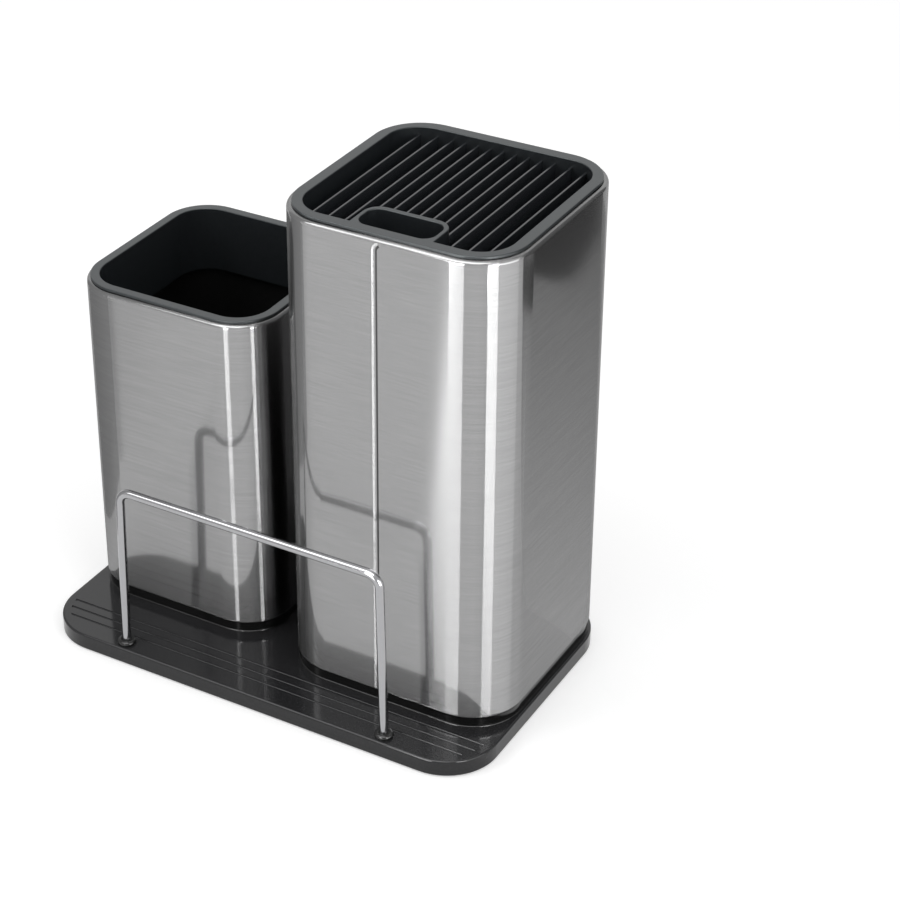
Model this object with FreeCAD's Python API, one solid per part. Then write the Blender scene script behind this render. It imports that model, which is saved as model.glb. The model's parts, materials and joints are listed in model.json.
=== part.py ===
import FreeCAD, Part
import math
import os

from FreeCAD import Vector

# Knife and board organizer: two square brushed steel towers on a black moulded tray.
# The right tower holds knives between slats, the left one holds utensils.
# A bent wire rail along the front keeps cutting boards upright.
# All sizes are in millimetres. The origin is on the table, under the middle of the tray.
# +X points right along the front, +Y points to the back and +Z points up.

# Tray
tray_length = 224.4
tray_depth = 137.0
tray_height = 7.3
tray_corner = 24.4
tray_back_corner = 27.0
tray_edge_round = 0.9
deck_thickness = 2.7
skirt_wall = 2.4
rib_wall = 1.6
rib_gap_to_table = 1.4
rib_spacing = 34.0
screw_boss_wall = 2.0

# Non-slip feet under the tray
foot_proud = 0.8
foot_radius = 7.0
foot_thickness = 2.0
foot_edge_round = 0.4
foot_inset = 16.0
foot_boss_wall = 1.0

# Drip grooves in the deck
groove_count = 3
groove_first_inset = 10.4
groove_pitch = 5.2
groove_width = 1.5
groove_depth = 0.5
groove_floor_round = 0.4
groove_end_inset = 4.0

# Board rail
rail_wire_radius = 2.0
rail_span = 135.2
rail_lean = 1.8
rail_front_inset = 5.6
rail_height = 81.8
rail_bend_radius = 6.0
rail_knee_radius = 40.0
rail_knee_lift = 1.0
rail_tip_round = 0.6
rail_running_gap = 0.08
socket_depth = 5.4
socket_boss_lift = 0.7
grommet_floor = 0.7
grommet_wall = 1.0
grommet_collar_radius = 4.2
grommet_collar_height = 2.1
grommet_collar_round = 1.3

# Steel, plinth and inner bin, alike on both towers
sheet = 0.7
edge_roll = 1.8
plinth_height = 4.5
plinth_set_in = 0.8
plinth_bead_height = 0.6
plinth_bead_proud = 0.6
plinth_bead_round = 0.5
spigot_gap = 0.3
liner_wall = 1.5
liner_floor = 2.2
liner_gap = 0.25
liner_round = 1.8
seam_fold_width = 1.8
seam_gap_width = 1.0
seam_depth = 0.45
seam_top_radius = 5.0
seam_top_turn = 62.0

# Rim and skirt that drop into the top of a tower, alike on both
rim_proud = 1.45
rim_edge_round = 0.5
rim_shadow_step = 0.4
skirt_thickness = 1.6
skirt_length = 30.0
skirt_gap = 0.5

# Knife tower, on the right
knife_side = 110.0
knife_corner = 24.4
knife_height = 220.6
knife_right_margin = 1.5
knife_back_margin = 1.2
knife_rim_set_in = 2.1
knife_rim_width = 5.4
knife_mouth_corner = 15.0
knife_seam_offset = -3.3
knife_seam_facing = 0.0

# Utensil tower, on the left. The tray's length leaves it its side
tower_gap = 13.6
utensil_corner = 22.0
utensil_height = 154.6
utensil_left_margin = 1.3
utensil_back_margin = 2.8
utensil_rim_set_in = 1.5
utensil_rim_width = 4.5
utensil_mouth_corner = 15.4
utensil_seam_offset = 4.0
utensil_seam_facing = -90.0

# Slats and pocket of the knife insert
slat_thickness = 1.1
slat_drop = 3.5
slat_edge_round = 0.35
slat_inner_pitch = 6.08
slat_inner_count = 4
slat_outer_pitch = 7.7
slat_outer_count = 2
pocket_width = 38.4
pocket_depth = 17.9
pocket_offset = 0.3
pocket_side_wall = 1.95
pocket_back_wall = 2.4
pocket_corner = 7.5

# Screws that hold the towers to the tray, driven from below
screw_radius = 1.9
screw_gap = 0.05
screw_head_radius = 3.7
screw_head_height = 2.2
screw_head_round = 1.1
screw_head_gap = 0.25
screw_head_depth = 2.8
screw_drive_width = 0.9
screw_drive_length = 4.6
screw_drive_depth = 1.2
screw_tip = 1.5
screw_spacing = 52.0
post_radius = 4.5
post_height = 11.0
post_roof = 2.0

# How far a cutting shape reaches past the face that it opens
past = 1.0

# Edges this close to a level count as lying at it
level_tolerance = 0.0001

# Levels, from the table up
tray_bottom = foot_proud
deck_top = tray_bottom + tray_height
deck_underside = deck_top - deck_thickness
boss_bottom = tray_bottom + rib_gap_to_table
screw_seat = boss_bottom + screw_head_depth
tower_bottom = deck_top + plinth_height
liner_bottom = tower_bottom + sheet
socket_bottom = deck_top - socket_depth
wire_bottom = socket_bottom + grommet_floor

# What the knife tower, the gap and the margins leave of the tray's length
utensil_side = (tray_length - utensil_left_margin - tower_gap - knife_side
                - knife_right_margin)

# How wide a seam is in all
seam_width = seam_fold_width + seam_gap_width

# The rail's line and the hole that holds each grommet
rail_y = -tray_depth / 2 + rail_front_inset
grommet_radius = rail_wire_radius + rail_running_gap + grommet_wall


class Tower:
    """Sizes and place of one tower, with what follows from them."""

    def __init__(self, side, corner, height, x, y, rim_set_in, rim_width, mouth_corner,
                 seam_offset, seam_facing):
        self.half = side / 2
        self.corner = corner
        self.top = tower_bottom + height
        self.x = x
        self.y = y
        self.rim_set_in = rim_set_in
        self.mouth = self.half - rim_set_in - rim_width
        self.mouth_corner = mouth_corner
        self.lip = self.mouth + skirt_thickness + skirt_gap
        self.lip_corner = mouth_corner + skirt_thickness + skirt_gap
        self.skirt_bottom = self.top - skirt_length
        self.rim_top = self.top + rim_proud
        self.seam_offset = seam_offset
        self.seam_facing = seam_facing

    def prism(self, half, corner, bottom, top):
        """Square block with rounded corners, centred on the tower."""
        return prism(half, half, corner, bottom, top, self.x, self.y)

    def screw_places(self):
        reach = screw_spacing / 2
        signs = (-1, 1)
        return [(self.x + sx * reach, self.y + sy * reach) for sx in signs for sy in signs]


def prism(half_x, half_y, corner, bottom, top, x=0.0, y=0.0, back_corner=None):
    """Upright block with rounded corners, centred on x and y."""
    radii = {-1: corner, 1: corner if back_corner is None else back_corner}
    edges = []
    previous = Vector(x + half_x, y - half_y + corner, bottom)
    for sx, sy in ((1, 1), (-1, 1), (-1, -1), (1, -1)):
        radius = radii[sy]
        diagonal = radius * math.sqrt(0.5)
        cx = x + sx * (half_x - radius)
        cy = y + sy * (half_y - radius)
        on_side = Vector(cx + sx * radius, cy, bottom)
        on_end = Vector(cx, cy + sy * radius, bottom)
        start, end = (on_side, on_end) if sx * sy > 0 else (on_end, on_side)
        middle = Vector(cx + sx * diagonal, cy + sy * diagonal, bottom)
        edges.append(Part.LineSegment(previous, start).toShape())
        edges.append(Part.Arc(start, middle, end).toShape())
        previous = end
    face = Part.Face(Part.Wire(edges))
    return face.extrude(Vector(0, 0, top - bottom))


def block(low, high):
    """Plain box between two corner points."""
    size = [high[i] - low[i] for i in range(3)]
    return Part.makeBox(size[0], size[1], size[2], Vector(*low))


def rod(x, y, bottom, top, radius):
    return Part.makeCylinder(radius, top - bottom, Vector(x, y, bottom))


def edges_at(solid, level):
    """Edges that lie flat at one level."""
    found = []
    for edge in solid.Edges:
        box = edge.BoundBox
        if abs(box.ZMin - level) < level_tolerance and abs(box.ZMax - level) < level_tolerance:
            found.append(edge)
    return found


def join(shapes):
    return shapes[0].multiFuse(shapes[1:]).removeSplitter()


def save(shape, node):
    shape.exportStep("parts/" + node + ".step")


knife = Tower(knife_side, knife_corner, knife_height,
              tray_length / 2 - knife_right_margin - knife_side / 2,
              tray_depth / 2 - knife_back_margin - knife_side / 2,
              knife_rim_set_in, knife_rim_width, knife_mouth_corner,
              knife_seam_offset, knife_seam_facing)

utensil = Tower(utensil_side, utensil_corner, utensil_height,
                -tray_length / 2 + utensil_left_margin + utensil_side / 2,
                tray_depth / 2 - utensil_back_margin - utensil_side / 2,
                utensil_rim_set_in, utensil_rim_width, utensil_mouth_corner,
                utensil_seam_offset, utensil_seam_facing)


def foot_places():
    reach_x = tray_length / 2 - foot_inset
    reach_y = tray_depth / 2 - foot_inset
    return [(sx * reach_x, sy * reach_y) for sx in (-1, 1) for sy in (-1, 1)]


def rail_places():
    return [(side * rail_span / 2, rail_y) for side in (-1, 1)]


def all_screw_places():
    return knife.screw_places() + utensil.screw_places()


def tray_block(inset, bottom, top):
    """The tray's outline as a solid block, drawn in by an inset."""
    return prism(tray_length / 2 - inset, tray_depth / 2 - inset, tray_corner - inset,
                 bottom, top, back_corner=tray_back_corner - inset)


def tray_ribs(cavity):
    """Stiffening ribs that cross the hollow under the deck."""
    half = rib_wall / 2
    ribs = []
    for i in range(-int(tray_length / 2 / rib_spacing), int(tray_length / 2 / rib_spacing) + 1):
        place = i * rib_spacing
        ribs.append(block((place - half, -tray_depth / 2, boss_bottom),
                          (place + half, tray_depth / 2, deck_underside)))
    for i in range(-int(tray_depth / 2 / rib_spacing), int(tray_depth / 2 / rib_spacing) + 1):
        place = i * rib_spacing
        ribs.append(block((-tray_length / 2, place - half, boss_bottom),
                          (tray_length / 2, place + half, deck_underside)))
    return join(ribs).common(cavity)


def tray_bosses():
    """Round bosses under the deck for the feet, the screws and the rail."""
    inside_deck = deck_top - deck_thickness / 2
    bosses = []
    for x, y in foot_places():
        bosses.append(rod(x, y, foot_thickness, inside_deck, foot_radius + foot_boss_wall))
    for x, y in all_screw_places():
        reach = screw_head_radius + screw_head_gap + screw_boss_wall
        bosses.append(rod(x, y, boss_bottom, inside_deck, reach))
    for x, y in rail_places():
        bosses.append(rod(x, y, tray_bottom + socket_boss_lift, inside_deck,
                          grommet_radius + grommet_wall))
    return bosses


def drip_grooves():
    """Shallow channels along the front of the deck, short of its edge."""
    floor = deck_top - groove_depth
    field = tray_block(groove_end_inset, floor, deck_top + past)
    grooves = []
    for i in range(groove_count):
        y = -tray_depth / 2 + groove_first_inset + i * groove_pitch
        low = (-tray_length / 2, y - groove_width / 2, floor)
        high = (tray_length / 2, y + groove_width / 2, deck_top + past)
        strip = block(low, high).common(field)
        long_edges = [e for e in edges_at(strip, floor) if e.Length > tray_length / 2]
        grooves.append(strip.makeFillet(groove_floor_round, long_edges))
    return grooves


def base_tray():
    """Moulded tray: deck, skirt, ribs, bosses and sockets."""
    outer = tray_block(0, tray_bottom, deck_top)
    outer = outer.makeFillet(tray_edge_round, edges_at(outer, deck_top))
    cavity = tray_block(skirt_wall, tray_bottom - past, deck_underside)
    added = [piece.common(outer) for piece in [tray_ribs(cavity)] + tray_bosses()]
    tray = join([outer.cut(cavity)] + added)
    cuts = drip_grooves()
    for x, y in all_screw_places():
        cuts.append(rod(x, y, 0, deck_top + past, screw_radius + screw_gap))
        cuts.append(rod(x, y, 0, screw_seat, screw_head_radius + screw_head_gap))
    for x, y in rail_places():
        cuts.append(rod(x, y, socket_bottom, deck_top + past, grommet_radius))
    for x, y in foot_places():
        cuts.append(rod(x, y, 0, foot_thickness, foot_radius + foot_boss_wall))
    return tray.cut(cuts)


def tray_feet():
    feet = []
    for x, y in foot_places():
        foot = rod(x, y, 0, foot_thickness, foot_radius)
        feet.append(foot.makeFillet(foot_edge_round, edges_at(foot, 0)))
    return Part.makeCompound(feet)


def rail_grommets():
    """Bushes that line the two sockets, each with a low collar on the deck."""
    collar_top = deck_top + grommet_collar_height
    grommets = []
    for x, y in rail_places():
        body = rod(x, y, socket_bottom, deck_top, grommet_radius)
        collar = rod(x, y, deck_top, collar_top, grommet_collar_radius)
        collar = collar.makeFillet(grommet_collar_round, edges_at(collar, collar_top))
        bore = rod(x, y, wire_bottom, collar_top + past, rail_wire_radius + rail_running_gap)
        grommets.append(join([body, collar]).cut(bore))
    return Part.makeCompound(grommets)


def bent_path(corners, radii):
    """Straight runs from corner to corner, with each corner between them rounded."""
    edges = []
    start = corners[0]
    for before, corner, after, radius in zip(corners, corners[1:], corners[2:], radii):
        back = (before - corner).normalize()
        ahead = (after - corner).normalize()
        half_angle = back.getAngle(ahead) / 2
        reach = radius / math.tan(half_angle)
        middle = corner + (back + ahead).normalize() * (radius / math.sin(half_angle) - radius)
        edges.append(Part.LineSegment(start, corner + back * reach).toShape())
        edges.append(Part.Arc(corner + back * reach, middle, corner + ahead * reach).toShape())
        start = corner + ahead * reach
    edges.append(Part.LineSegment(start, corners[-1]).toShape())
    return Part.Wire(edges)


def board_rail():
    """Wire bent into a wide staple. Its legs stand upright in the grommets and lean inwards above."""
    foot_x = rail_span / 2
    top_x = foot_x - rail_lean
    top = deck_top + rail_height
    knee = deck_top + grommet_collar_height + rail_knee_lift
    left_foot = Vector(-foot_x, rail_y, wire_bottom)
    path = bent_path([
        left_foot,
        Vector(-foot_x, rail_y, knee),
        Vector(-top_x, rail_y, top),
        Vector(top_x, rail_y, top),
        Vector(foot_x, rail_y, knee),
        Vector(foot_x, rail_y, wire_bottom),
    ], [rail_knee_radius, rail_bend_radius, rail_bend_radius, rail_knee_radius])
    circle = Part.Circle(left_foot, Vector(0, 0, 1), rail_wire_radius).toShape()
    wire = path.makePipeShell([Part.Wire(circle)], True, False)
    return wire.makeFillet(rail_tip_round, edges_at(wire, wire_bottom))


def seam_section(tower, level):
    """Face across the seam: the sheet's edge folds gently down, and a gap parts it from the rest."""
    left = -seam_width / 2
    right = seam_width / 2
    gap_left = left + seam_fold_width
    front = -tower.half
    floor = front + seam_depth
    fold_radius = (seam_fold_width ** 2 + seam_depth ** 2) / (2 * seam_depth)
    half_turn = math.asin(seam_fold_width / fold_radius) / 2
    fold_middle = Vector(left + fold_radius * math.sin(half_turn),
                         front + fold_radius * (1 - math.cos(half_turn)), level)
    start = Vector(left, front, level)
    fold_end = Vector(gap_left, floor, level)
    corners = [fold_end, Vector(right, floor, level), Vector(right, front - past, level),
               Vector(left, front - past, level), start]
    fold = Part.Arc(start, fold_middle, fold_end).toShape()
    return Part.Face(Part.Wire([fold] + Part.makePolygon(corners).Edges))


def lap_seam(tower):
    """What the lapped edge of the sheet leaves open: straight up, then turning right."""
    arc_bottom = tower.top - seam_top_radius
    section = seam_section(tower, arc_bottom)
    straight = section.extrude(Vector(0, 0, -arc_bottom))
    centre = Vector(seam_top_radius - seam_width / 2, 0, arc_bottom)
    curl = section.revolve(centre, Vector(0, 1, 0), seam_top_turn)
    seam = join([straight, curl])
    seam.translate(Vector(tower.seam_offset, 0, 0))
    seam.rotate(Vector(0, 0, 0), Vector(0, 0, 1), tower.seam_facing)
    seam.translate(Vector(tower.x, tower.y, 0))
    return seam


def shell(tower):
    """Steel sheet wrapped into a square tube, rolled inwards at the top and the bottom."""
    low = tower_bottom
    outer = tower.prism(tower.half, tower.corner, low, tower.top)
    outer = outer.makeFillet(edge_roll, edges_at(outer, tower.top) + edges_at(outer, low))
    inner_top = tower.top - sheet
    inner = tower.prism(tower.half - sheet, tower.corner - sheet, low + sheet, inner_top)
    inner_edges = edges_at(inner, inner_top) + edges_at(inner, low + sheet)
    inner = inner.makeFillet(edge_roll - sheet, inner_edges)
    opening = tower.prism(tower.lip, tower.lip_corner, low - past, tower.top + past)
    return outer.cut(inner).cut(opening).cut(lap_seam(tower))


def base_cap(tower):
    """Black foot of a tower: a plinth with a bead at the deck and a spigot in the steel."""
    half = tower.half - plinth_set_in
    corner = tower.corner - plinth_set_in
    plinth = tower.prism(half, corner, deck_top, tower_bottom)
    bead_top = deck_top + plinth_bead_height
    bead = tower.prism(half + plinth_bead_proud, corner + plinth_bead_proud, deck_top, bead_top)
    bead = bead.makeFillet(plinth_bead_round, edges_at(bead, bead_top))
    spigot = tower.prism(tower.lip - spigot_gap, tower.lip_corner - spigot_gap,
                         tower_bottom - plinth_height / 2, liner_bottom)
    cap = join([plinth, bead, spigot])
    holes = [rod(x, y, deck_top - past, liner_bottom + past, screw_radius + screw_gap)
             for x, y in tower.screw_places()]
    return cap.cut(holes)


def liner(tower):
    """Black inner bin that the steel is wrapped around, with posts for the screws."""
    half = tower.half - sheet - liner_gap
    corner = tower.corner - sheet - liner_gap
    top = tower.top - sheet
    floor = liner_bottom + liner_floor
    outer = tower.prism(half, corner, liner_bottom, top)
    outer = outer.makeFillet(liner_round, edges_at(outer, liner_bottom) + edges_at(outer, top))
    inner = tower.prism(half - liner_wall, corner - liner_wall, floor, top + past)
    inner = inner.makeFillet(liner_round, edges_at(inner, floor))
    posts = [rod(x, y, floor - liner_floor / 2, liner_bottom + post_height, post_radius)
             for x, y in tower.screw_places()]
    holes = [rod(x, y, liner_bottom - past, liner_bottom + post_height - post_roof,
                 screw_radius + screw_gap) for x, y in tower.screw_places()]
    return join([outer.cut(inner)] + posts).cut(holes)


def tower_screws(tower):
    """Pan-head screws with a cross recess, driven up through tray, plinth and inner bin."""
    head_bottom = screw_seat - screw_head_height
    tip = liner_bottom + post_height - post_roof - screw_gap
    drive_top = head_bottom + screw_drive_depth
    long_half = screw_drive_length / 2
    wide_half = screw_drive_width / 2
    screws = []
    for x, y in tower.screw_places():
        head = rod(x, y, head_bottom, screw_seat, screw_head_radius)
        head = head.makeFillet(screw_head_round, edges_at(head, head_bottom))
        shank = rod(x, y, screw_seat - screw_head_height / 2, tip, screw_radius)
        shank = shank.makeChamfer(screw_tip, edges_at(shank, tip))
        slot_x = block((x - long_half, y - wide_half, head_bottom - past),
                       (x + long_half, y + wide_half, drive_top))
        slot_y = block((x - wide_half, y - long_half, head_bottom - past),
                       (x + wide_half, y + long_half, drive_top))
        screws.append(join([head, shank]).cut([slot_x, slot_y]))
    return Part.makeCompound(screws)


def rim_frame(tower):
    """Rim that lies on a tower's rolled lip, with a skirt that hangs inside it."""
    crown_half = tower.half - tower.rim_set_in
    crown_corner = tower.corner - tower.rim_set_in
    step = rim_shadow_step
    crown = tower.prism(crown_half, crown_corner, tower.top + step, tower.rim_top)
    crown = crown.makeFillet(rim_edge_round, edges_at(crown, tower.rim_top))
    foot = tower.prism(crown_half - step, crown_corner - step, tower.top,
                       tower.top + rim_proud / 2)
    skirt = tower.prism(tower.mouth + skirt_thickness, tower.mouth_corner + skirt_thickness,
                        tower.skirt_bottom, tower.top + step)
    mouth = tower.prism(tower.mouth, tower.mouth_corner, tower.skirt_bottom - past,
                        tower.rim_top + past)
    return join([crown, foot, skirt]).cut(mouth)


def round_mouth(frame, tower):
    """Softens the top edges of a frame that lie inside the rim."""
    reach = tower.mouth + rim_edge_round
    inner_edges = []
    for edge in edges_at(frame, tower.rim_top):
        centre = edge.CenterOfMass
        if abs(centre.x - tower.x) <= reach and abs(centre.y - tower.y) <= reach:
            inner_edges.append(edge)
    return frame.makeFillet(rim_edge_round, inner_edges)


def pocket_block():
    """Outline of the scissor pocket at the front of the knife insert, as a solid block."""
    back = knife.y - knife.mouth + pocket_depth
    front = knife.y - knife.mouth - pocket_corner
    return prism(pocket_width / 2, (back - front) / 2, pocket_corner, knife.skirt_bottom,
                 knife.rim_top, knife.x + pocket_offset, (back + front) / 2)


def pocket_hole():
    """The pocket's own opening, which runs right through it."""
    half_y = (pocket_depth - pocket_back_wall) / 2
    return prism(pocket_width / 2 - pocket_side_wall, half_y, pocket_corner - pocket_side_wall,
                 knife.skirt_bottom - past, knife.rim_top + past,
                 knife.x + pocket_offset, knife.y - knife.mouth + half_y)


def knife_insert():
    """Rim and skirt of the knife tower's mouth, with the pocket moulded in."""
    mouth = knife.prism(knife.mouth, knife.mouth_corner, knife.skirt_bottom, knife.rim_top)
    frame = join([rim_frame(knife), pocket_block().common(mouth)])
    return round_mouth(frame.cut(pocket_hole()), knife)


def utensil_collar():
    return round_mouth(rim_frame(utensil), utensil)


def slat_places():
    """Distances of the slats from the middle of the insert."""
    places = [i * slat_inner_pitch for i in range(slat_inner_count + 1)]
    inner_end = places[-1]
    places += [inner_end + i * slat_outer_pitch for i in range(1, slat_outer_count + 1)]
    return sorted([-place for place in places[1:]] + places)


def blade_slats():
    """Thin slats from front to back, which part the blades and end behind the pocket."""
    high = knife.rim_top - slat_drop
    mouth = knife.prism(knife.mouth, knife.mouth_corner, knife.skirt_bottom, high)
    pocket = pocket_block()
    slats = []
    for place in slat_places():
        left = knife.x + place - slat_thickness / 2
        slat = block((left, knife.y - knife.half, knife.skirt_bottom),
                     (left + slat_thickness, knife.y + knife.half, high))
        long_edges = [e for e in edges_at(slat, high) if e.Length > knife.half]
        slat = slat.makeFillet(slat_edge_round, long_edges)
        pieces = slat.common(mouth).cut(pocket).Solids
        slats.append(max(pieces, key=lambda piece: piece.Volume))
    return Part.makeCompound(slats)


def main():
    os.makedirs("parts", exist_ok=True)
    save(base_tray(), "base_tray")
    save(tray_feet(), "tray_feet")
    save(rail_grommets(), "rail_grommets")
    save(board_rail(), "board_rail")
    save(knife_insert(), "knife_insert")
    save(blade_slats(), "blade_slats")
    save(utensil_collar(), "utensil_collar")
    for name, tower in (("knife", knife), ("utensil", utensil)):
        save(shell(tower), name + "_shell")
        save(base_cap(tower), name + "_base_cap")
        save(liner(tower), name + "_liner")
        save(tower_screws(tower), name + "_tower_screws")


main()
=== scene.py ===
import json
import math

import bpy
from mathutils import Matrix, Vector


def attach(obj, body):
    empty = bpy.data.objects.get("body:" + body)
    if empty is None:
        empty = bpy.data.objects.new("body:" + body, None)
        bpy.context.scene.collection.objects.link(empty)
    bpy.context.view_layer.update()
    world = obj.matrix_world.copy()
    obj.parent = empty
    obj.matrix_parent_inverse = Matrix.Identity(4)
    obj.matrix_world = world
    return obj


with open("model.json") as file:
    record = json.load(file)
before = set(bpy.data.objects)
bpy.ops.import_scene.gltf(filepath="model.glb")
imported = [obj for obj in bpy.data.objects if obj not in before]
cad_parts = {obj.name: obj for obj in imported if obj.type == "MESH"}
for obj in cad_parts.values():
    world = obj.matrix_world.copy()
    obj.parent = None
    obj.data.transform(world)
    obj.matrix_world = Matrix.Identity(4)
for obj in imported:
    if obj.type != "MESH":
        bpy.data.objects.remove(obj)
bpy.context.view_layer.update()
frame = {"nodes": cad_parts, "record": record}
scene = bpy.context.scene

# Camera, from the photograph's straight edges
camera_place = Vector((0.4823, -0.7651, 0.6534))
camera_yaw = math.radians(30.61)
camera_pitch = math.radians(29.48)
camera_roll = math.radians(-0.4)
camera_lens_mm = 95.72
camera_sensor_mm = 36.0
camera_shift = (0.0778, -0.0983)

# Floor: its colour, and what is added where it is seen, so that it is white
floor_reach = 6.0
floor_white = 0.80
floor_lift = 0.38

# Steel: its two greys, and roughness and stretch of the narrow and the wide blur
steel_dark = (0.308, 0.308, 0.310)
steel_light = (0.346, 0.346, 0.347)
steel_core = (0.084, 0.29)
steel_veil = (0.241, 0.871)
steel_veil_share = 0.5

# What surrounds the object: as a light, and as what its surfaces reflect
surroundings_grey = 0.70
reflected_grey = 0.80

# Lamps for the floor and the dull surfaces: middle, width, length, radiance
lamps = {
    "left_lamp": ((-0.60, -0.55, 0.90), 0.60, 0.60, 2.4),
    "right_lamp": ((0.80, -0.35, 0.80), 0.60, 0.60, 2.4),
}
lamp_target = Vector((0.0, 0.0, 0.12))

# Cards that only reflections show: corners, and the brightness of all of them or of each
cards = {
    "strip_left": (((-0.034, -0.295, 0.08), (0.125, -1.080, 0.02),
                    (0.125, -1.080, 0.50), (-0.034, -0.295, 0.22)), (14.2,)),
    "strip_right": (((0.299, -0.236, 0.07), (0.610, -0.285, 0.02),
                     (0.610, -0.285, 0.33), (0.299, -0.236, 0.22)), (16.0,)),
    "soft_right": (((0.620, -0.280, 0.02), (0.720, 0.120, 0.02),
                    (0.720, 0.120, 0.33), (0.620, -0.280, 0.33)), (4.5, 3.0, 3.0, 4.5)),
    "softbox_above": (((-1.30, -1.00, 1.10), (0.60, -1.00, 1.10),
                       (0.60, -0.25, 1.20), (-1.30, -0.25, 1.20)), (4.5,)),
    "grey_right": (((0.27, 0.05, 0.15), (0.27, 0.53, 0.15),
                    (0.27, 0.53, 0.60), (0.27, 0.05, 0.60)), (0.18,)),
    "grey_left": (((-0.17, -0.14, 0.0), (-0.17, 0.0, 0.0),
                   (-0.17, 0.0, 0.50), (-0.17, -0.14, 0.50)), (0.6, 0.45, 0.45, 0.6)),
    # shade_on_floor and dark_on_floor are painted shade: darker patches lying on the floor, seen only in
    # reflections
    "shade_on_floor": (((0.12, 0.05, 0.001), (0.62, 0.24, 0.001),
                        (0.62, 0.50, 0.001), (0.12, 0.50, 0.001)), (1.1, 0.42, 0.42, 0.45)),
    "dark_on_floor": (((0.452, 0.163, 0.0015), (0.510, 0.193, 0.0015), (0.471, 0.254, 0.0015),
                       (0.424, 0.307, 0.0015), (0.362, 0.357, 0.0015), (0.300, 0.357, 0.0015),
                       (0.300, 0.325, 0.0015), (0.323, 0.299, 0.0015), (0.376, 0.257, 0.0015),
                       (0.431, 0.198, 0.0015)), (0.05,)),
    "dark_behind": (((0.257, 0.36, 0.25), (0.257, 0.36, 0.045), (0.260, 0.36, 0.034),
                     (0.268, 0.36, 0.016), (0.275, 0.36, 0.007), (0.285, 0.36, 0.002),
                     (0.60, 0.36, 0.002), (0.60, 0.36, 0.25)), (0.02,)),
    "sky_behind": (((-2.0, 0.9, 1.1), (0.0, 0.9, 1.1), (0.0, 2.6, 1.1), (-2.0, 2.6, 1.1)),
                   (0.95,)),
}

# Seams: middle of the tower, its half width, top, seam offset and facing, all in millimetres
towers = {
    "knife": (55.7, 12.3, 55.0, 233.2, -3.3, 0.0),
    "utensil": (-61.9, 16.7, 49.0, 167.2, 4.0, -90.0),
}
seam_bottom_mm = 14.5
seam_arc_mm = 5.0
seam_turn = 62.0
seam_steps = 10
seam_half_mm = 1.4
# Painted shade in the gap beside each seam's fold: the dark ribbon's edges across, and its two depths, in
# millimetres
seam_painted_shade_mm = (0.4, 1.4)
seam_painted_shade_depths_mm = (0.30, 0.44)


def add_node(tree, kind, label="", **values):
    """Adds a node and sets its properties."""
    node = tree.nodes.new(kind)
    node.label = label
    for key, value in values.items():
        setattr(node, key, value)
    return node


def new_material(name):
    """An empty node material, with its tree, its Principled shader and its output."""
    material = bpy.data.materials.new(name)
    material.use_nodes = True
    tree = material.node_tree
    tree.nodes.clear()
    output = add_node(tree, "ShaderNodeOutputMaterial")
    shader = add_node(tree, "ShaderNodeBsdfPrincipled")
    tree.links.new(shader.outputs["BSDF"], output.inputs["Surface"])
    return material, tree, shader


def stretched_noise(tree, scale, detail, seed):
    """Noise over the object's own coordinates, with its own scale along each axis."""
    coordinates = add_node(tree, "ShaderNodeTexCoord")
    mapping = add_node(tree, "ShaderNodeMapping")
    mapping.inputs["Scale"].default_value = scale
    mapping.inputs["Location"].default_value = (seed, seed * 0.7, seed * 0.3)
    noise = add_node(tree, "ShaderNodeTexNoise")
    noise.inputs["Scale"].default_value = 1.0
    noise.inputs["Detail"].default_value = detail
    tree.links.new(coordinates.outputs["Object"], mapping.inputs["Vector"])
    tree.links.new(mapping.outputs["Vector"], noise.inputs["Vector"])
    return noise.outputs["Fac"]


def spread(tree, source, low, high, start=0.3, end=0.7):
    """Maps a noise to a range of values."""
    ramp = add_node(tree, "ShaderNodeMapRange")
    ramp.inputs["From Min"].default_value = start
    ramp.inputs["From Max"].default_value = end
    ramp.inputs["To Min"].default_value = low
    ramp.inputs["To Max"].default_value = high
    tree.links.new(source, ramp.inputs["Value"])
    return ramp.outputs["Result"]


def blend_colours(tree, source, first, second):
    mix = add_node(tree, "ShaderNodeMix", data_type="RGBA")
    mix.inputs[6].default_value = (*first, 1.0)
    mix.inputs[7].default_value = (*second, 1.0)
    tree.links.new(source, mix.inputs["Factor"])
    return mix.outputs[2]


def bump(tree, source, distance, strength=1.0, below=None):
    node = add_node(tree, "ShaderNodeBump")
    node.inputs["Distance"].default_value = distance
    node.inputs["Strength"].default_value = strength
    tree.links.new(source, node.inputs["Height"])
    if below is not None:
        tree.links.new(below, node.inputs["Normal"])
    return node.outputs["Normal"]


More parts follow.
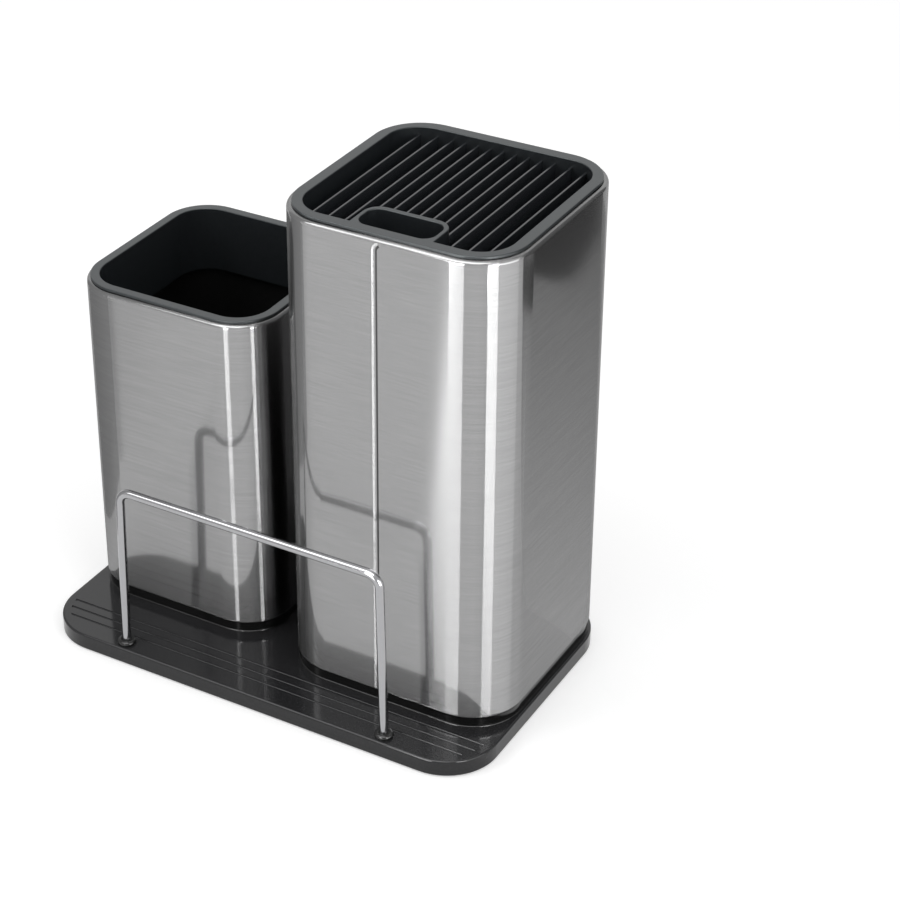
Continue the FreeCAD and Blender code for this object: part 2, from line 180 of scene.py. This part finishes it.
def brushed_steel():
    """Brushed along the horizontal: sharp sideways, with a narrow and a wide blur upward."""
    material, tree, unused = new_material("brushed_steel")
    output = next(n for n in tree.nodes if n.type == "OUTPUT_MATERIAL")
    tree.nodes.remove(unused)
    fine = stretched_noise(tree, (45, 45, 1900), 2.0, 1.3)
    coarse = stretched_noise(tree, (25, 25, 900), 2.0, 4.1)
    colour = blend_colours(tree, spread(tree, fine, 0.0, 1.0), steel_dark, steel_light)
    tangent = add_node(tree, "ShaderNodeTangent", direction_type="RADIAL", axis="Z")
    lobes = []
    for roughness, stretch in (steel_core, steel_veil):
        lobe = add_node(tree, "ShaderNodeBsdfAnisotropic", distribution="GGX")
        lobe.inputs["Anisotropy"].default_value = stretch
        tree.links.new(colour, lobe.inputs["Color"])
        tree.links.new(spread(tree, coarse, roughness * 0.97, roughness * 1.03), lobe.inputs["Roughness"])
        tree.links.new(tangent.outputs["Tangent"], lobe.inputs["Tangent"])
        lobes.append(lobe)
    both = add_node(tree, "ShaderNodeMixShader")
    both.inputs[0].default_value = steel_veil_share
    tree.links.new(lobes[0].outputs[0], both.inputs[1])
    tree.links.new(lobes[1].outputs[0], both.inputs[2])
    tree.links.new(both.outputs[0], output.inputs["Surface"])
    return material


def facing_up(tree, low, high):
    """A value that goes from low on upright faces to high on level ones."""
    geometry = add_node(tree, "ShaderNodeNewGeometry")
    parts = add_node(tree, "ShaderNodeSeparateXYZ")
    tree.links.new(geometry.outputs["Normal"], parts.inputs["Vector"])
    return spread(tree, parts.outputs["Z"], low, high, 0.35, 0.9)


def plain(name, colour, roughness, metallic=0.0, specular=0.5, shaded_side_specular=None,
          tint=(1.0, 1.0, 1.0), waviness=0.0, mottle=1.25):
    """A plastic, rubber or metal with fine mottling, and perhaps painted shade on upright faces through a
    lower specular level.
    """
    material, tree, shader = new_material(name)
    shader.inputs["Specular IOR Level"].default_value = specular
    shader.inputs["Specular Tint"].default_value = (*tint, 1.0)
    # Painted shade: upright faces get a lower specular level than level ones, so their reflections are
    # darker
    if shaded_side_specular is not None:
        tree.links.new(facing_up(tree, shaded_side_specular, specular),
                       shader.inputs["Specular IOR Level"])
    grain = stretched_noise(tree, (900, 900, 900), 2.0, 2.2)
    lighter = tuple(c * mottle for c in colour)
    tree.links.new(blend_colours(tree, spread(tree, grain, 0.0, 1.0), colour, lighter),
                   shader.inputs["Base Color"])
    tree.links.new(spread(tree, grain, roughness, roughness * 1.15), shader.inputs["Roughness"])
    shader.inputs["Metallic"].default_value = metallic
    if waviness:
        swell = stretched_noise(tree, (55, 55, 55), 1.0, 3.1)
        tree.links.new(bump(tree, swell, waviness), shader.inputs["Normal"])
    return material


finishes = {
    "brushed_steel": brushed_steel(),
    "tray_gloss": plain("tray_gloss", (0.018, 0.018, 0.019), 0.09, shaded_side_specular=0.3,
                        waviness=0.00006),
    "plinth_gloss": plain("plinth_gloss", (0.004, 0.004, 0.004), 0.14),
    "rim_satin": plain("rim_satin", (0.0125, 0.0145, 0.0165), 0.34, specular=1.0,
                       shaded_side_specular=0.6, tint=(0.93, 0.99, 1.0)),
    "slat_black": plain("slat_black", (0.019, 0.021, 0.024), 0.22, specular=1.0, mottle=1.06),
    "liner_black": plain("liner_black", (0.004, 0.004, 0.0042), 0.4),
    "grommet_black": plain("grommet_black", (0.008, 0.008, 0.008), 0.14),
    "foot_rubber": plain("foot_rubber", (0.015, 0.015, 0.015), 0.8),
    "rail_chrome": plain("rail_chrome", (0.37, 0.37, 0.38), 0.12, 1.0, mottle=1.04),
    "screw_steel": plain("screw_steel", (0.45, 0.45, 0.45), 0.35, 1.0),
}

for part in frame["record"]["subparts"]:
    node = frame["nodes"][part["node"]]
    node.data.materials.clear()
    node.data.materials.append(finishes[part["material_slot"]])


def place_camera():
    data = bpy.data.cameras.new("photo_camera")
    camera = bpy.data.objects.new("photo_camera", data)
    scene.collection.objects.link(camera)
    ahead = Vector((-math.sin(camera_yaw) * math.cos(camera_pitch),
                    math.cos(camera_yaw) * math.cos(camera_pitch),
                    -math.sin(camera_pitch)))
    right = Vector((math.cos(camera_yaw), math.sin(camera_yaw), 0.0))
    down = -right.cross(ahead)
    turned_right = math.cos(camera_roll) * right - math.sin(camera_roll) * down
    turned_down = math.sin(camera_roll) * right + math.cos(camera_roll) * down
    axes = Matrix((turned_right, -turned_down, -ahead)).transposed().to_4x4()
    camera.matrix_world = Matrix.Translation(camera_place) @ axes
    data.sensor_width = camera_sensor_mm
    data.lens = camera_lens_mm
    data.shift_x, data.shift_y = camera_shift
    data.clip_start = 0.01
    scene.camera = camera


def build_floor():
    mesh = bpy.data.meshes.new("floor")
    r = floor_reach
    mesh.from_pydata([(-r, -r, 0), (r, -r, 0), (r, r, 0), (-r, r, 0)], [], [(0, 1, 2, 3)])
    floor = bpy.data.objects.new("floor", mesh)
    scene.collection.objects.link(floor)
    material = bpy.data.materials.new("floor_white")
    material.use_nodes = True
    tree = material.node_tree
    tree.nodes.clear()
    output = add_node(tree, "ShaderNodeOutputMaterial")
    diffuse = add_node(tree, "ShaderNodeBsdfDiffuse")
    diffuse.inputs["Color"].default_value = (floor_white,) * 3 + (1.0,)
    glow = add_node(tree, "ShaderNodeEmission")
    glow.inputs["Strength"].default_value = floor_lift
    both = add_node(tree, "ShaderNodeAddShader")
    path = add_node(tree, "ShaderNodeLightPath")
    seen = add_node(tree, "ShaderNodeMath", operation="MAXIMUM")
    seen_too = add_node(tree, "ShaderNodeMath", operation="MAXIMUM")
    choice = add_node(tree, "ShaderNodeMixShader")
    tree.links.new(path.outputs["Is Camera Ray"], seen.inputs[0])
    tree.links.new(path.outputs["Is Glossy Ray"], seen.inputs[1])
    tree.links.new(seen.outputs[0], seen_too.inputs[0])
    tree.links.new(path.outputs["Is Transmission Ray"], seen_too.inputs[1])
    tree.links.new(diffuse.outputs[0], both.inputs[0])
    tree.links.new(glow.outputs[0], both.inputs[1])
    tree.links.new(seen_too.outputs[0], choice.inputs[0])
    tree.links.new(diffuse.outputs[0], choice.inputs[1])
    tree.links.new(both.outputs[0], choice.inputs[2])
    tree.links.new(choice.outputs[0], output.inputs["Surface"])
    mesh.materials.append(material)


def build_world():
    world = bpy.data.worlds.new("studio")
    scene.world = world
    world.use_nodes = True
    tree = world.node_tree
    tree.nodes.clear()
    output = add_node(tree, "ShaderNodeOutputWorld")
    dim = add_node(tree, "ShaderNodeBackground")
    dim.inputs["Color"].default_value = (surroundings_grey,) * 3 + (1.0,)
    white = add_node(tree, "ShaderNodeBackground")
    white.inputs["Color"].default_value = (1.0, 1.0, 1.0, 1.0)
    strength = add_node(tree, "ShaderNodeMath", operation="MULTIPLY_ADD")
    strength.inputs[1].default_value = 1.0 - reflected_grey
    strength.inputs[2].default_value = reflected_grey
    path = add_node(tree, "ShaderNodeLightPath")
    seen = add_node(tree, "ShaderNodeMath", operation="MAXIMUM")
    seen_too = add_node(tree, "ShaderNodeMath", operation="MAXIMUM")
    choice = add_node(tree, "ShaderNodeMixShader")
    tree.links.new(path.outputs["Is Camera Ray"], seen.inputs[0])
    tree.links.new(path.outputs["Is Glossy Ray"], seen.inputs[1])
    tree.links.new(seen.outputs[0], seen_too.inputs[0])
    tree.links.new(path.outputs["Is Transmission Ray"], seen_too.inputs[1])
    tree.links.new(path.outputs["Is Camera Ray"], strength.inputs[0])
    tree.links.new(strength.outputs[0], white.inputs["Strength"])
    tree.links.new(seen_too.outputs[0], choice.inputs[0])
    tree.links.new(dim.outputs[0], choice.inputs[1])
    tree.links.new(white.outputs[0], choice.inputs[2])
    tree.links.new(choice.outputs[0], output.inputs["Surface"])


def add_lamp(name, middle, width, length, radiance):
    """A lamp that faces the object and isn't seen in reflections."""
    data = bpy.data.lights.new(name, "AREA")
    data.shape = "RECTANGLE"
    data.size = width
    data.size_y = length
    data.energy = radiance * math.pi * width * length
    lamp = bpy.data.objects.new(name, data)
    scene.collection.objects.link(lamp)
    lamp.location = middle
    lamp.rotation_euler = (lamp_target - Vector(middle)).to_track_quat("-Z", "Y").to_euler()
    lamp.visible_glossy = False
    lamp.visible_camera = False


def add_card(name, corners, brightness):
    """A card that neither blocks light nor is seen, except in reflections."""
    mesh = bpy.data.meshes.new(name)
    mesh.from_pydata(corners, [], [tuple(range(len(corners)))])
    card = bpy.data.objects.new(name, mesh)
    scene.collection.objects.link(card)
    card.visible_camera = False
    card.visible_diffuse = False
    card.visible_shadow = False
    card.visible_transmission = False
    material = bpy.data.materials.new(name)
    material.use_nodes = True
    tree = material.node_tree
    tree.nodes.clear()
    output = add_node(tree, "ShaderNodeOutputMaterial")
    glow = add_node(tree, "ShaderNodeEmission")
    shades = mesh.color_attributes.new("shade", "FLOAT_COLOR", "POINT")
    for corner, shade in enumerate(brightness * (len(corners) // len(brightness))):
        shades.data[corner].color = (shade, shade, shade, 1.0)
    picked = add_node(tree, "ShaderNodeVertexColor", layer_name="shade")
    tree.links.new(picked.outputs["Color"], glow.inputs["Color"])
    tree.links.new(glow.outputs[0], output.inputs["Surface"])
    mesh.materials.append(material)


def add_seam_painted_shade(tower, settings):
    """A thin dark ribbon in the gap beside a seam's fold: painted shade, standing in for the shadow at
    the gap's bottom.
    """
    x, y, half, top, offset, facing = settings
    arc_bottom = top - seam_arc_mm
    centre = offset + seam_arc_mm - seam_half_mm
    outline = [[], []]
    for edge, across in zip(outline, seam_painted_shade_mm):
        radius = centre - offset - across
        edge.append((offset + across, seam_bottom_mm))
        for step in range(seam_steps + 1):
            turn = math.radians(seam_turn) * step / seam_steps
            edge.append((centre - radius * math.cos(turn), arc_bottom + radius * math.sin(turn)))
    count = len(outline[0])
    points = []
    for depth in seam_painted_shade_depths_mm:
        for edge in outline:
            points += [(across, depth - half, level) for across, level in edge]
    faces = []
    for n in range(count - 1):
        a, b, c, d = n, n + 1, count + n, count + n + 1
        e, f, g, h = (index + 2 * count for index in (a, b, c, d))
        faces += [(a, c, d, b), (e, f, h, g), (a, b, f, e), (c, g, h, d)]
    faces += [(0, 2 * count, 3 * count, count),
              (count - 1, 2 * count - 1, 4 * count - 1, 3 * count - 1)]
    mesh = bpy.data.meshes.new(tower + "_seam_painted_shade")
    mesh.from_pydata(points, [], faces)
    # Painted shade: the ribbon takes the black liner finish so that the gap reads dark
    mesh.materials.append(finishes["liner_black"])
    place = Matrix.Translation((x, y, 0.0)) @ Matrix.Rotation(math.radians(facing), 4, "Z")
    mesh.transform(Matrix.Scale(0.001, 4) @ place)
    ribbon = bpy.data.objects.new(tower + "_seam_painted_shade", mesh)
    scene.collection.objects.link(ribbon)
    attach(ribbon, "base")


# Painted shade ribbons in the seams' gaps
for tower, settings in towers.items():
    add_seam_painted_shade(tower, settings)
place_camera()
build_floor()
build_world()
for name, setting in lamps.items():
    add_lamp(name, *setting)
for name, setting in cards.items():
    add_card(name, *setting)

scene.view_settings.view_transform = "Standard"
